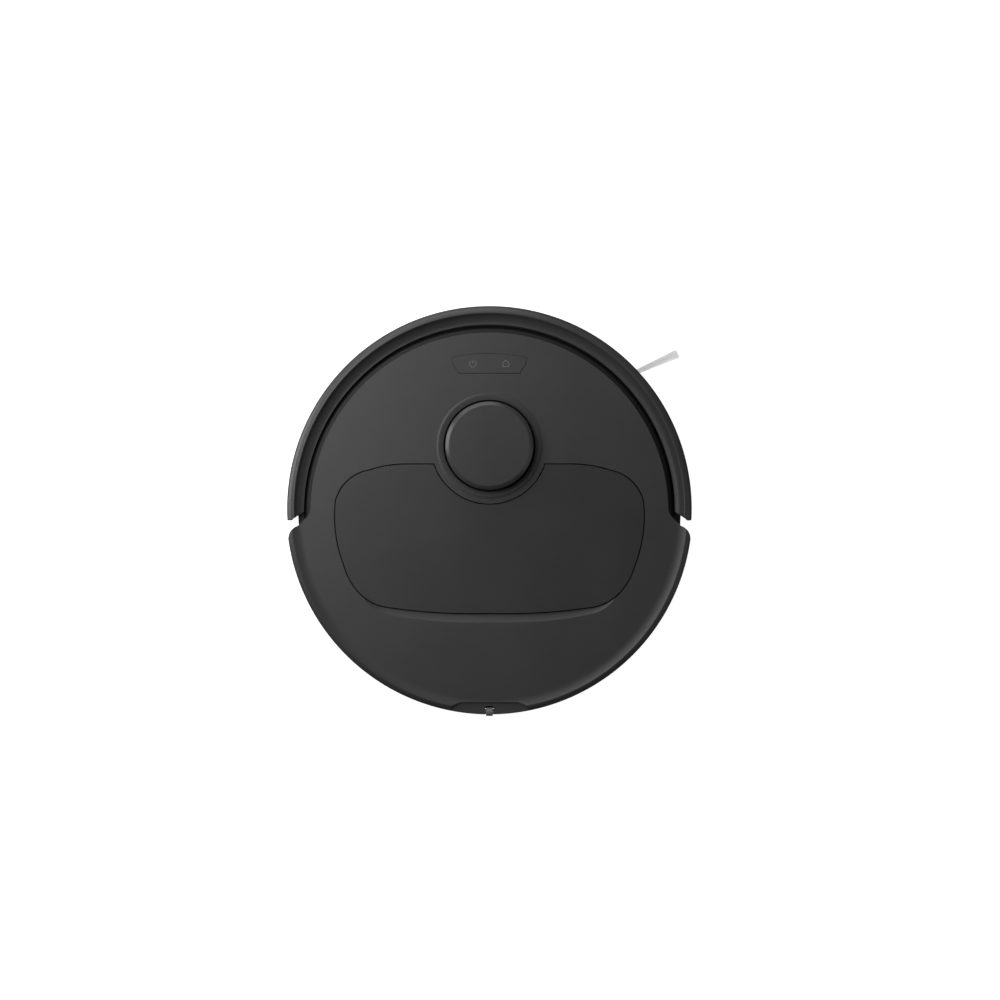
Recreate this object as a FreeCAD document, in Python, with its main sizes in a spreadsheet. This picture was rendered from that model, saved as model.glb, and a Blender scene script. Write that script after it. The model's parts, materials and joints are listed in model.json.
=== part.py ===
import FreeCAD, Part
import math
import os
import re
import Sketcher

# Robot vacuum cleaner, millimetres. +Y is the front (bumper side), +Z up, the floor is z = 0 and
# the axis of the round body is x = 0, y = 0.

DIMENSIONS = {
    # round body and its covers
    "body_radius": 174.9, "shell_wall": 2.5, "shell_bottom": 16, "shell_top": 67.7,
    "cover_top": 79.5, "cover_skin": 2.5, "skirt_bottom": 68, "front_radius": 154, "front_skirt": 71.4,
    "rim_start": 163.5, "rim_crest": 169.6, "crest_height": 80.4, "rim_edge": 75.5,
    "bend_y": 3.1, "bend_round": 12, "bend_end_x": 157.7, "bend_end_y": 5.5,
    "rim_hollow": 20.45, "rim_round": 5.32, "notch_x": 165, "notch_y": 12.5, "shoulder_round": 12,
    "shoulder_x": 173.07, "shoulder_y": 25.2, "base_bottom": 10, "base_skin": 4,
    "housing_radius": 165, "housing_wall": 2.5, "ledge_height": 71, "ledge_inner": 150,
    # bumper
    "bumper_shift": 2.6, "bumper_radius": 174.4, "bumper_wall": 2.5, "bumper_inner": 158.6,
    "bumper_crest": 168.7, "bumper_edge": 75.5, "bumper_bottom": 15, "bumper_end_y": -4.3,
    "bumper_end_x": 170.7, "bumper_heel_y": -7.7, "window_low": 30, "window_high": 52, "window_skin": 1.2,
    # turret
    "turret_y": 56.5, "turret_opening": 39.4, "lip_radius": 44, "lip_rise": 0.45, "cap_top": 97,
    "cap_flat": 34.5, "cap_edge": 36.3, "cap_radius": 37.9, "cap_bevel": 1.2, "cap_disc": 93,
    "cap_ring_top": 82, "cap_ring_bottom": 78.6, "pillar_half": 5, "rotor_radius": 31,
    "rotor_bottom": 77.6, "rotor_top": 91.4, "hub_radius": 22, "spigot": 10, "running_gap": 0.06,
    "deck_low": 62, "deck_high": 65, "belt_low": 67.5, "belt_high": 70.5, "belt_skin": 1.2,
    "belt_gap": 0.3, "pulley_radius": 5, "motor_x": -55, "motor_y": 70,
    # lid over the dust bin
    "seam": 0.5, "lid_skin": 2, "cutout_radius": 50.6, "lid_front": 40.5, "lid_flat_x": 70,
    "lid_bend_x": 103.6, "lid_bend_y": 35.2, "lid_wide_x": 132.3, "lid_wide_y": 8.5,
    "lid_side_x": 124.8, "lid_side_y": -46.8, "lid_low_x": 117.4, "lid_low_y": -62.9,
    "lid_rear_x": 85.8, "lid_rear_y": -82.6, "lid_back": -87.5, "hinge_y": 36, "hinge_height": 78.7,
    "pin_radius": 0.5, "pin_start": 43.4, "swing_relief": 1.05, "barrel_radius": 1.6, "barrel_in": 49,
    "barrel_out": 66,
    # finger scoop behind the lid
    "scoop_x": 104, "scoop_y": -78, "scoop_bend_x": 83, "scoop_bend_y": -88.3, "scoop_back": -94.4,
    "scoop_depth": 1.8,
    # bay and dust bin
    "bay_x": 102, "bay_front": -30, "bay_back": -90, "bay_wall": 1.5, "bay_bottom": 15.5,
    "deck_top": 76, "deck_skin": 2, "bin_wall": 1.6, "bin_gap": 1.5, "bin_bottom": 18, "bin_top": 68,
    "duct_x": 45, "duct_low": 20, "duct_high": 34,
    # buttons
    "panel_top_y": 137.1, "panel_x": 31.9, "panel_y": 132.3, "panel_low_x": 26.1, "panel_low_y": 118.9,
    "panel_gap": 0.3, "panel_skin": 1.5, "switch_x": 14, "switch_y": 127,
    # rear roller
    "roller_radius": 3.9, "roller_y": -172.3, "roller_height": 74.3, "roller_half": 3,
    "recess_front": -164.2, "recess_x": 25.5, "recess_wide": 33, "recess_corner": -167.6, "recess_floor": 78,
    # wheels
    "wheel_y": -8, "wheel_radius": 35, "wheel_in": 108, "wheel_out": 128, "rim_radius": 26,
    "pivot_y": 38, "pivot_height": 40, "pivot_pin": 3, "arm_in": 92, "arm_out": 107.4,
    "pivot_lobe": 10, "axle_lobe": 15, "stub_radius": 2,
    # main brush
    "brush_y": 3, "brush_height": 22.5, "brush_reach": 22, "brush_core": 9, "brush_half": 74,
    "chamber_radius": 27, "chamber_wall": 2.5, "chamber_half": 79.5, "journal": 4,
    # side brush
    "side_x": 92.4, "side_y": 105.6, "side_reach": 75, "side_hub": 9,
    # caster
    "caster_y": 125, "caster_radius": 13, "caster_trail": 2, "caster_half": 6, "fork_radius": 16,
    # rear machinery
    "fan_x": 58, "fan_y": -121, "fan_radius": 28, "board_height": 30,
}

doc = FreeCAD.newDocument("RobotVacuum")
V = FreeCAD.Vector
sheet = doc.addObject("Spreadsheet::Sheet", "Dim")
for row, (alias, number) in enumerate(DIMENSIONS.items(), start=1):
    sheet.set(f"A{row}", alias)
    sheet.set(f"B{row}", str(number))
    sheet.setAlias(f"B{row}", alias)
doc.recompute()
NODES = []


# ---- binding and drawing helpers

def bound(expression):
    """Point every dimension named in an expression at its cell of the sheet."""
    return re.sub(r"[a-z_]+", lambda m: "Dim." + m[0] if m[0] in DIMENSIONS else m[0], str(expression))


def value(expression):
    return float(sheet.evalExpression(bound(expression)))


def bind(item, name, expression):
    item.setExpression(name, bound(expression))


def keep(item, label):
    """Name a finished sub-part, so that it is written out."""
    item.Label = label
    NODES.append(item)
    return item


def arc_between(start, end, radius):
    """Arc under half a turn; a positive radius turns anticlockwise, a negative one clockwise."""
    (x0, y0), (x1, y1) = start, end
    chord = math.hypot(x1 - x0, y1 - y0)
    rise = math.sqrt(radius * radius - chord * chord / 4) * math.copysign(1, radius)
    centre = V((x0 + x1) / 2 - (y1 - y0) / chord * rise, (y0 + y1) / 2 + (x1 - x0) / chord * rise, 0)
    first = math.atan2(y0 - centre.y, x0 - centre.x)
    last = math.atan2(y1 - centre.y, x1 - centre.x)
    if radius < 0:
        first, last = last, first
    return Part.ArcOfCircle(Part.Circle(centre, V(0, 0, 1), abs(radius)), first, last)


def pin_point(sketch, index, end, expressions):
    """Bind one end of a curve to its place; a zero coordinate lies on the sketch's axis."""
    for kind, axis, expression in zip(("DistanceX", "DistanceY"), (-2, -1), expressions):
        place = value(expression)
        if abs(place) < 1e-9:
            sketch.addConstraint(Sketcher.Constraint("PointOnObject", index, end, axis))
            continue
        added = sketch.addConstraint(Sketcher.Constraint(kind, -1, 1, index, end, place))
        bind(sketch, f"Constraints[{added}]", expression)


def draw(sketch, outline):
    """Closed outline: (x, y) starts a line to the next point and (x, y, radius) an arc."""
    points = [(value(point[0]), value(point[1])) for point in outline]
    first = sketch.GeometryCount
    ends = []
    for number, point in enumerate(outline):
        start, end = points[number], points[(number + 1) % len(points)]
        if len(point) == 2:
            sketch.addGeometry(Part.LineSegment(V(*start, 0), V(*end, 0)), False)
            ends.append((1, 2))
        else:
            radius = value(point[2])
            sketch.addGeometry(arc_between(start, end, radius), False)
            ends.append((1, 2) if radius > 0 else (2, 1))
    for number, point in enumerate(outline):
        after = (number + 1) % len(outline)
        joint = Sketcher.Constraint("Coincident", first + number, ends[number][1],
                                    first + after, ends[after][0])
        sketch.addConstraint(joint)
        pin_point(sketch, first + number, ends[number][0], point[:2])
        if len(point) == 3:
            added = sketch.addConstraint(
                Sketcher.Constraint("Radius", first + number, abs(value(point[2]))))
            bind(sketch, f"Constraints[{added}]", f"abs({point[2]})")


def sketch_on(body, role, outline, offset="0"):
    """Sketch on one of the body's own origin planes, moved along the plane's normal."""
    sketch = body.newObject("Sketcher::SketchObject", "Outline")
    plane = [feature for feature in body.Origin.OriginFeatures if feature.Role == role][0]
    sketch.AttachmentSupport = [(plane, "")]
    sketch.MapMode = "FlatFace"
    bind(sketch, "AttachmentOffset.Base.z", offset)
    draw(sketch, outline)
    return sketch


def padded(name, outline, low, high, role="XY_Plane"):
    """Body: the outline padded from low to high along the plane's normal."""
    body = doc.addObject("PartDesign::Body", name)
    pad = body.newObject("PartDesign::Pad", "Pad")
    pad.Profile = sketch_on(body, role, outline, low)
    bind(pad, "Length", f"({high}) - ({low})")
    return body


def turned(name, outline, axis="V_Axis", place=("0", "0", "0")):
    """Body: the outline in the XZ plane turned all round the sketch's axis, then placed."""
    body = doc.addObject("PartDesign::Body", name)
    sketch = sketch_on(body, "XZ_Plane", outline)
    turn = body.newObject("PartDesign::Revolution", "Turn")
    turn.Profile = sketch
    turn.ReferenceAxis = (sketch, [axis])
    turn.Angle = 360
    set_place(body, place)
    return body


def set_place(item, place):
    for letter, expression in zip("xyz", place):
        bind(item, f"Placement.Base.{letter}", expression)


def box(name, xs, ys, zs):
    item = doc.addObject("Part::Box", name)
    for side, (low, high) in zip(("Length", "Width", "Height"), (xs, ys, zs)):
        bind(item, side, f"({high}) - ({low})")
    set_place(item, (xs[0], ys[0], zs[0]))
    return item


def spoke(name, angle, near, far, width, zs, centre=("0", "0")):
    """Box that lies along a radius of the centre, at an angle in degrees from +X."""
    item = doc.addObject("Part::Box", name)
    bind(item, "Length", f"({far}) - ({near})")
    bind(item, "Width", width)
    bind(item, "Height", f"({zs[1]}) - ({zs[0]})")
    cosine, sine = f"cos({angle} deg)", f"sin({angle} deg)"
    item.Placement = FreeCAD.Placement(V(), FreeCAD.Rotation(V(0, 0, 1), angle))
    set_place(item, (f"{centre[0]} + ({near}) * {cosine} + ({width}) / 2 * {sine}",
                     f"{centre[1]} + ({near}) * {sine} - ({width}) / 2 * {cosine}", zs[0]))
    return item


def rod(name, axis, centre, ends, radius):
    """Cylinder along x, y or z between its two ends; centre gives the other two coordinates."""
    item = doc.addObject("Part::Cylinder", name)
    bind(item, "Radius", radius)
    bind(item, "Height", f"({ends[1]}) - ({ends[0]})")
    turn = {"x": (V(0, 1, 0), 90), "y": (V(1, 0, 0), -90), "z": (V(0, 0, 1), 0)}[axis]
    item.Placement = FreeCAD.Placement(V(), FreeCAD.Rotation(*turn))
    place = list(centre)
    place.insert("xyz".index(axis), ends[0])
    set_place(item, place)
    return item


def joined(name, items):
    item = doc.addObject("Part::MultiFuse", name)
    item.Shapes = items
    return item


def less(name, base, tools):
    """The base with every tool cut away."""
    item = doc.addObject("Part::Cut", name)
    item.Base = base
    item.Tool = tools[0] if len(tools) == 1 else joined(name + "_tools", tools)
    return item


def shared(name, first, second):
    item = doc.addObject("Part::Common", name)
    item.Base = first
    item.Tool = second
    return item


def tube(name, axis, centre, ends, outer, inner):
    cutter_ends = (f"({ends[0]}) - 1", f"({ends[1]}) + 1")
    return less(name, rod(name + "_outer", axis, centre, ends, outer),
                [rod(name + "_inner", axis, centre, cutter_ends, inner)])


# ---- outlines that several sub-parts share

SHOULDER_LEFT = [("-shoulder_x", "-shoulder_y", "-shoulder_round"), ("-notch_x - 2", "-notch_y - 0.8"),
                 ("-notch_x", "-notch_y")]
SHOULDER_RIGHT = [("notch_x", "-notch_y"), ("notch_x + 2", "-notch_y - 0.8", "-shoulder_round"),
                  ("shoulder_x", "-shoulder_y", "-body_radius"), ("0", "-body_radius", "-body_radius")]


def cover_outline():
    """Plan of the top cover: round front, shoulders behind the bumper's ends, full round rear."""
    bend = "sqrt(front_radius ^ 2 - bend_y ^ 2)"
    return [("-bend_end_x", "-bend_end_y", "bend_round"), (f"-{bend}", "bend_y", "-front_radius"),
            ("0", "front_radius", "-front_radius"), (bend, "bend_y", "bend_round"),
            ("bend_end_x", "-bend_end_y")] + SHOULDER_RIGHT + SHOULDER_LEFT


def lid_rim(gap):
    """Sides and rear of the lid, grown by a gap; the ends join in a straight front edge."""
    right = [("lid_flat_x", f"lid_front + {gap}", "-100"),
             (f"lid_bend_x + {gap} * 0.4", f"lid_bend_y + {gap}", "-36"),
             (f"lid_wide_x + {gap}", f"lid_wide_y + {gap} * 0.3", "-118"),
             (f"lid_side_x + {gap}", f"lid_side_y - {gap} * 0.3", "-53"),
             (f"lid_low_x + {gap} * 0.9", f"lid_low_y - {gap} * 0.5", "-42"),
             (f"lid_rear_x + {gap} * 0.2", f"lid_rear_y - {gap}", "-500")]
    left = [(f"-({x})", y) for x, y, _ in reversed(right)]
    radii = ["-42", "-53", "-118", "-36", "-100"]
    left = [point + (radius,) for point, radius in zip(left, radii)] + [left[-1]]
    return right + [("0", f"lid_back - {gap}", "-500")] + left


def lid_outline(gap):
    """Plan of the lid, grown by a gap, with the round cut-out beside the turret."""
    bite = f"(cutout_radius - ({gap}))"
    corner = f"sqrt({bite} ^ 2 - (turret_y - lid_front - ({gap})) ^ 2)"
    front = [(f"-{corner}", f"lid_front + {gap}", bite), ("0", f"turret_y - {bite}", bite),
             (corner, f"lid_front + {gap}")]
    return lid_rim(gap) + front


def panel_outline(gap):
    """Plan of the button panel, grown by a gap."""
    return [(f"-panel_low_x - {gap}", f"panel_low_y - {gap}"), (f"-panel_x - {gap}", f"panel_y - 4"),
            (f"-panel_x - {gap}", f"panel_y + {gap} * 0.5", "-panel_top_y - 1"),
            (f"panel_x + {gap}", f"panel_y + {gap} * 0.5"), (f"panel_x + {gap}", f"panel_y - 4"),
            (f"panel_low_x + {gap}", f"panel_low_y - {gap}")]


def mirrored_name(base, side):
    return f"{base}_{'right' if side > 0 else 'left'}"


# ---- body: base, housing, shell, cover

SCREW_PLACES = [("-140", "-60"), ("-140", "62"), ("140", "-60"), ("140", "62"),
                ("-60", "-150"), ("-60", "146"), ("60", "-150"), ("60", "146")]
CLIFF_PLACES = [("-96", "120"), ("75", "138"), ("-100", "-105"), ("100", "-105")]
CONTACT_PLACES = ["-28", "28"]
PIVOT_LUGS = [("84.6", "86.6"), ("arm_out + 0.8", "112.4")]


def across(side, near, far):
    """The two ends, low first, of something on the left (-1) or right (1) side of the body."""
    return sorted((f"{side} * ({near})", f"{side} * ({far})"), key=value)


def base_openings():
    """Everything that goes through the base plate or is let into it."""
    low, high = "base_bottom - 1", "base_bottom + base_skin + 1"
    tools = [box("Brush_mouth", ("-77", "77"), ("brush_y - 24", "brush_y + 24"), (low, high)),
             rod("Caster_hole", "z", ("0", "caster_y"), (low, high), "fork_radius + 2"),
             rod("Side_brush_hole", "z", ("side_x", "side_y"), (low, high), "5.5"),
             box("Battery_seat", ("-78", "78"), ("52", "98"), (low, "base_bottom + 1.6")),
             box("Brush_cover_seat", ("-86.4", "86.4"), ("brush_y - 31.4", "brush_y + 31.4"),
                 (low, "base_bottom + 0.6"))]
    for side in (-1, 1):
        tools.append(box("Wheel_well", across(side, "wheel_in - 3", "wheel_out + 3"),
                         ("wheel_y - 38", "pivot_y - 3.6"), (low, high)))
        tools.append(box("Arm_slot", across(side, "arm_in - 1", "wheel_in - 2.5"),
                         ("wheel_y - 20", "pivot_y - 3.6"), (low, high)))
    return tools


def make_base():
    rear_radius = "(-body_radius + 3)"
    plan = [("-housing_radius", "-notch_y"), ("-housing_radius", "0", "-housing_radius"),
            ("0", "housing_radius", "-housing_radius"), ("housing_radius", "0"),
            ("housing_radius", "-notch_y"), ("shoulder_x - 3", "-shoulder_y", rear_radius),
            ("0", rear_radius, rear_radius),
            ("-shoulder_x + 3", "-shoulder_y")]
    parts = [padded("Base_plate", plan, "base_bottom", "base_bottom + base_skin")]
    for side in (-1, 1):
        parts += [box("Pivot_lug", across(side, near, far), ("pivot_y - 4.6", "pivot_y + 6"),
                      ("base_bottom + base_skin", "pivot_height + 6")) for near, far in PIVOT_LUGS]
    below, seat = "base_bottom - 1", "base_bottom + 0.6"
    tools = base_openings()
    tools.append(rod("Pivot_bore", "x", ("pivot_y", "pivot_height"), ("-120", "120"),
                     "pivot_pin + running_gap"))
    tools += [rod("Screw_seat", "z", place, (below, "base_bottom + 1.8"), "3.3") for place in SCREW_PLACES]
    tools += [rod("Cliff_seat", "z", place, (below, seat), "6") for place in CLIFF_PLACES]
    tools += [box("Contact_seat", (f"{x} - 6", f"{x} + 6"), ("146", "154"), (below, seat))
              for x in CONTACT_PLACES]
    keep(less("Base", joined("Base_body", parts), tools), "chassis_base")


def make_base_fittings():
    keep(joined("Screws", [rod("Screw", "z", place, ("base_bottom + 0.3", "base_bottom + 1.8"), "2.9")
                           for place in SCREW_PLACES]), "base_screws")
    cover_ends = ("base_bottom + 0.2", "base_bottom + 1.6")
    keep(box("Battery_cover", ("-77.6", "77.6"), ("52.4", "97.6"), cover_ends), "battery_cover")
    contacts = [box("Contact", (f"{x} - 5.8", f"{x} + 5.8"), ("146.2", "153.8"),
                    ("base_bottom - 0.2", "base_bottom + 0.6")) for x in CONTACT_PLACES]
    keep(joined("Contacts", contacts), "charging_contacts")
    windows = [rod("Cliff_window", "z", place, ("base_bottom + 0.1", "base_bottom + 0.6"), "5.8")
               for place in CLIFF_PLACES]
    keep(joined("Cliff", windows), "cliff_sensors")


def make_housing():
    """Front wall and its ledge, behind the bumper."""
    profile = [("housing_radius - housing_wall", "base_bottom + base_skin"),
               ("housing_radius", "base_bottom + base_skin"), ("housing_radius", "ledge_height"),
               ("ledge_inner", "ledge_height"), ("ledge_inner", "ledge_height - 2"),
               ("housing_radius - housing_wall", "ledge_height - 2")]
    ring = turned("Housing_ring", profile)
    rear = box("Behind_housing", ("-200", "200"), ("-200", "-notch_y"), ("0", "100"))
    keep(less("Housing", ring, [rear]), "front_housing")


def make_shell():
    """Rear side wall with the exhaust slots, open between its two shoulders."""
    inner = "body_radius - shell_wall"
    outline = SHOULDER_RIGHT + SHOULDER_LEFT
    outline += [("-notch_x + 2.3", "-notch_y"), ("-notch_x + 2.3", "-notch_y - 3"),
                ("-sqrt((body_radius - shell_wall) ^ 2 - shoulder_y ^ 2)", "-shoulder_y", inner),
                ("0", "-body_radius + shell_wall", inner),
                ("sqrt((body_radius - shell_wall) ^ 2 - shoulder_y ^ 2)", "-shoulder_y"),
                ("notch_x - 2.3", "-notch_y - 3"), ("notch_x - 2.3", "-notch_y")]
    wall = padded("Shell_wall", outline, "shell_bottom", "shell_top")
    slots = [spoke("Exhaust", -78 + 3 * number, "body_radius - 10", "body_radius + 5", "2.4", ("28", "56"))
             for number in range(14)]
    keep(less("Shell", wall, slots), "rear_shell")


def cover_blank():
    """Top skin with the hollow rear rim, trimmed to the cover's plan."""
    under = "cover_top - cover_skin"
    profile = [("0", "cover_top"), ("0", under), ("rim_crest - 2", under),
               ("body_radius - shell_wall", "rim_edge - 1"), ("body_radius - shell_wall", "skirt_bottom"),
               ("body_radius", "skirt_bottom"), ("body_radius", "rim_edge", "rim_round"),
               ("rim_crest", "crest_height", "-rim_hollow"), ("rim_start", "cover_top")]
    skin = turned("Cover_skin", profile)
    plan = padded("Cover_plan", cover_outline(), "skirt_bottom - 2", "cover_top + 5")
    trimmed = shared("Cover_trimmed", skin, plan)
    skirt = tube("Front_skirt", "z", ("0", "0"), ("front_skirt", "cover_top - 1"), "front_radius",
                 "front_radius - 2.5")
    behind = box("Behind_skirt", ("-200", "200"), ("-200", "bend_y + 1"), ("0", "100"))
    return [trimmed, less("Front_skirt_half", skirt, [behind])]


def make_cover():
    lip = turned("Turret_lip", [("turret_opening", "cover_top - 1"), ("lip_radius + 1.5", "cover_top - 1"),
                                ("lip_radius + 1.5", "cover_top"), ("lip_radius", "cover_top + lip_rise"),
                                ("turret_opening", "cover_top - 0.2")], place=("0", "turret_y", "0"))
    axle_boss = box("Axle_boss", ("-7", "7"), ("-173", "-168"), ("71", "77.5"))
    blank = joined("Cover_blank", cover_blank() + [axle_boss])
    dish = rod("Turret_opening", "z", ("0", "turret_y"), ("60", "100"), "turret_opening")
    hole = padded("Lid_opening", lid_outline("seam"), "cover_top - 3", "cover_top + 3")
    crescent = [("-scoop_x", "scoop_y"), ("scoop_x", "scoop_y", "-42"),
                ("scoop_bend_x", "scoop_bend_y", "-700"), ("0", "scoop_back", "-700"),
                ("-scoop_bend_x", "scoop_bend_y", "-42")]
    scoop = padded("Scoop", crescent, "cover_top - scoop_depth", "cover_top + 3")
    panel = padded("Panel_opening", panel_outline("panel_gap"), "cover_top - 3", "cover_top + 3")
    step = [("-recess_wide", "-180"), ("recess_wide", "-180"), ("recess_wide", "recess_corner"),
            ("recess_x", "recess_front"), ("-recess_x", "recess_front"), ("-recess_wide", "recess_corner")]
    recess = padded("Rear_recess", step, "recess_floor", "cover_top + 5")
    slot = box("Roller_slot", ("-3.6", "3.6"), ("-180", "-167.6"), ("60", "90"))
    axle = rod("Axle_bore", "x", ("roller_y", "roller_height"), ("-5.2", "5.2"), "1")
    hinge = ("hinge_y", "hinge_height")
    pins = [rod("Hinge_bore", "x", hinge, across(side, "pin_start - 0.4", "47"), "pin_radius + running_gap")
            for side in (-1, 1)]
    pins += [rod("Swing_relief", "x", hinge, across(side, "92", "105.5"), "swing_relief") for side in (-1, 1)]
    carved = less("Cover_carved", blank, [hole, scoop, panel, recess, slot, axle])
    with_lip = joined("Cover_with_lip", [carved, lip])
    keep(less("Cover", with_lip, [dish] + pins), "top_cover")


# ---- lid, bay and dust bin

def make_lid():
    plate = padded("Lid_plate", lid_outline("0"), "cover_top - lid_skin", "cover_top")
    parts = [plate]
    hinge = ("hinge_y", "hinge_height")
    for side in (-1, 1):
        parts.append(rod("Barrel", "x", hinge, across(side, "barrel_in", "barrel_out"), "barrel_radius"))
        parts += [rod("Lid_foot", "z", (f"{side} * 108", y), ("deck_top + 0.1", "cover_top - 1"), "2.5")
                  for y in ("0", "-60")]
    pin_ends = [across(side, "pin_start", "60") for side in (-1, 1)]
    tools = [rod("Pin_seat", "x", hinge, ends, "pin_radius") for ends in pin_ends]
    tools.append(box("Above_lid", ("-150", "150"), ("-100", "60"), ("cover_top", "cover_top + 5")))
    keep(less("Lid", joined("Lid_body", parts), tools), "bin_lid")
    keep(joined("Lid_pins", [rod("Lid_pin", "x", hinge, ends, "pin_radius") for ends in pin_ends]),
         "lid_hinge_pins")


def make_bay():
    """Tub that holds the dust bin, hung from a deck under the lid."""
    deck = padded("Bay_deck", lid_rim("4"), "deck_top - deck_skin", "deck_top")
    walls = ("-bay_x - bay_wall", "bay_x + bay_wall"), ("bay_back - bay_wall", "bay_front + bay_wall")
    tub = box("Bay_tub", *walls, ("bay_bottom", "deck_top - 1"))
    solid = joined("Bay_solid", [deck, tub])
    tools = [box("Bay_inside", ("-bay_x", "bay_x"), ("bay_back", "bay_front"),
                 ("bay_bottom + bay_wall", "90")),
             box("Bay_front_gap", ("-106", "106"), ("hinge_y - 5", "60"), ("60", "90")),
             box("Bay_duct", ("-duct_x", "duct_x"), ("bay_front - 1", "bay_front + 3"),
                 ("duct_low", "duct_high")),
             rod("Bay_turret_gap", "z", ("0", "turret_y"), ("60", "90"), "cutout_radius + 2")]
    under_deck = ("deck_top - 3", "deck_top - 1")
    tools += [box("Wheel_relief", across(side, "104", "131.5"), ("-50", "32"), under_deck)
              for side in (-1, 1)]
    keep(less("Bay", solid, tools), "bin_bay")


def make_bin():
    xs = ("-bay_x + bin_gap", "bay_x - bin_gap")
    ys = ("bay_back + bin_gap", "bay_front - bin_gap")
    inner_x = ("-bay_x + bin_gap + bin_wall", "bay_x - bin_gap - bin_wall")
    inner_y = ("bay_back + bin_gap + bin_wall", "bay_front - bin_gap - bin_wall")
    tub = box("Bin_outer", xs, ys, ("bin_bottom", "bin_top"))
    inside = box("Bin_inner", inner_x, inner_y, ("bin_bottom + bin_wall", "bin_top + 1"))
    mouth = box("Bin_mouth", ("-duct_x + 2", "duct_x - 2"), ("bay_front - 5", "bay_front"),
                ("duct_low + 1.5", "duct_high - 1.5"))
    outlet = box("Bin_outlet", ("-40", "40"), ("bay_back", "bay_back + 5"), ("30", "58"))
    keep(less("Bin", tub, [inside, mouth, outlet]), "dust_bin")
    top = box("Bin_top_plate", xs, ys, ("bin_top + 0.1", "bin_top + 2.1"))
    window = box("Bin_grip", ("-30", "30"), ("-74", "-54"), ("bin_top + 1.1", "bin_top + 3"))
    keep(less("Bin_top", top, [window]), "bin_top")
    keep(box("Bin_filter", ("-58", "58"), ("bay_back + 3.3", "bay_back + 12"), ("27", "62")), "bin_filter")
    bar_height = ("bin_top + 2.3", "bin_top + 5.3")
    bars = [box("Handle_bar", ("-42", "42"), ("-50", "-45"), bar_height)]
    bars += [box("Handle_arm", (f"{x} - 2.5", f"{x} + 2.5"), ("-78", "-46"), bar_height)
             for x in (-39.5, 39.5)]
    keep(joined("Handle", bars), "bin_handle")


# ---- buttons and rear roller

def make_buttons():
    plate = padded("Button_plate", panel_outline("0"), "cover_top - panel_skin", "cover_top")
    places = [(f"{side} * switch_x", "switch_y") for side in (-1, 1)]
    stems = [rod("Stem", "z", place, ("cover_top - 2.6", "cover_top - 1"), "1.6") for place in places]
    keep(joined("Buttons", [plate] + stems), "button_panel")
    board = box("Button_board", ("-30", "30"), ("120", "134"), ("cover_top - 6", "cover_top - 4.6"))
    domes = [rod("Switch", "z", place, ("cover_top - 5", "cover_top - 3.1"), "3") for place in places]
    keep(joined("Button_switches", [board] + domes), "button_board")


def make_roller():
    centre = ("roller_y", "roller_height")
    keep(tube("Roller", "x", centre, ("-roller_half", "roller_half"), "roller_radius", "1 + running_gap"),
         "rear_roller")
    keep(rod("Roller_axle", "x", centre, ("-5.2", "5.2"), "1"), "rear_roller_axle")


# ---- bumper

def window_wedge():
    """Wedge that picks out the part of the bumper's wall that is the window."""
    return padded("Window_wedge", [("0", "0"), ("90", "200"), ("-90", "200")], "window_low", "window_high")


def make_bumper():
    inner = "bumper_radius - bumper_wall"
    profile = [(inner, "bumper_bottom"), ("bumper_radius - 1.2", "bumper_bottom"),
               ("bumper_radius", "bumper_bottom + 3"), ("bumper_radius", "bumper_edge - 2", "7.5"),
               ("bumper_crest", "crest_height", "-14"), ("bumper_inner", "bumper_edge"),
               ("bumper_inner", "bumper_edge - 2.5"), ("bumper_inner + 4", "bumper_edge - 1.6"),
               ("bumper_crest", "crest_height - 3.6"), (inner, "bumper_edge - 4")]
    ring = turned("Bumper_ring", profile, place=("0", "bumper_shift", "0"))
    left = [("-bumper_end_x - 5.2", "bumper_end_y", "4"), ("-bumper_end_x", "bumper_heel_y"),
            ("-140", "13.3")]
    right = [("140", "13.3"), ("bumper_end_x", "bumper_heel_y", "4"), ("bumper_end_x + 5.2", "bumper_end_y")]
    plan = [("-200", "200"), ("-200", "bumper_end_y")] + left + right
    plan += [("200", "bumper_end_y"), ("200", "200")]
    front = padded("Bumper_plan", plan, "0", "100")
    shell = shared("Bumper_front", ring, front)
    centre, heights = ("0", "bumper_shift"), ("window_low", "window_high")
    seat = "bumper_radius - window_skin"
    pocket = tube("Window_pocket", "z", centre, heights, "bumper_radius + 1", seat)
    keep(less("Bumper", shell, [shared("Window_cut", pocket, window_wedge())]), "bumper_shell")
    skin = tube("Window_skin", "z", centre, heights, "bumper_radius", seat)
    keep(shared("Window", skin, window_wedge()), "bumper_window")
    switches = [spoke("Bumper_switch", angle, "housing_radius", "housing_radius + 3", "12", ("40", "50"))
                for angle in (40, 140)]
    keep(joined("Bumper_switches", switches), "bumper_switches")


# ---- turret

def make_cap():
    """Turret cap: a disc on three pillars over the ring round the rotor."""
    centre = ("0", "turret_y")
    side = ("cap_radius", "cap_top - cap_bevel - 0.6")
    profile = [("0", "cap_disc"), ("cap_radius - 1.2", "cap_disc"), ("cap_radius", "cap_disc + 0.8"), side,
               ("cap_edge", "cap_top - cap_bevel + 0.2"), ("cap_flat", "cap_top"), ("0", "cap_top")]
    disc = turned("Cap_disc", profile, place=("0", "turret_y", "0"))
    ring = tube("Cap_ring", "z", centre, ("cap_ring_bottom", "cap_ring_top"), "cap_radius",
                "cap_radius - 4.6")
    pillars = [spoke("Pillar", angle, "cap_radius - 4.4", "cap_radius - 0.8", "2 * pillar_half",
                     ("cap_ring_top - 1", "cap_disc + 1"), centre) for angle in (90, 225, 315)]
    keep(joined("Cap", [disc, ring] + pillars), "lidar_cap")


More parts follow.
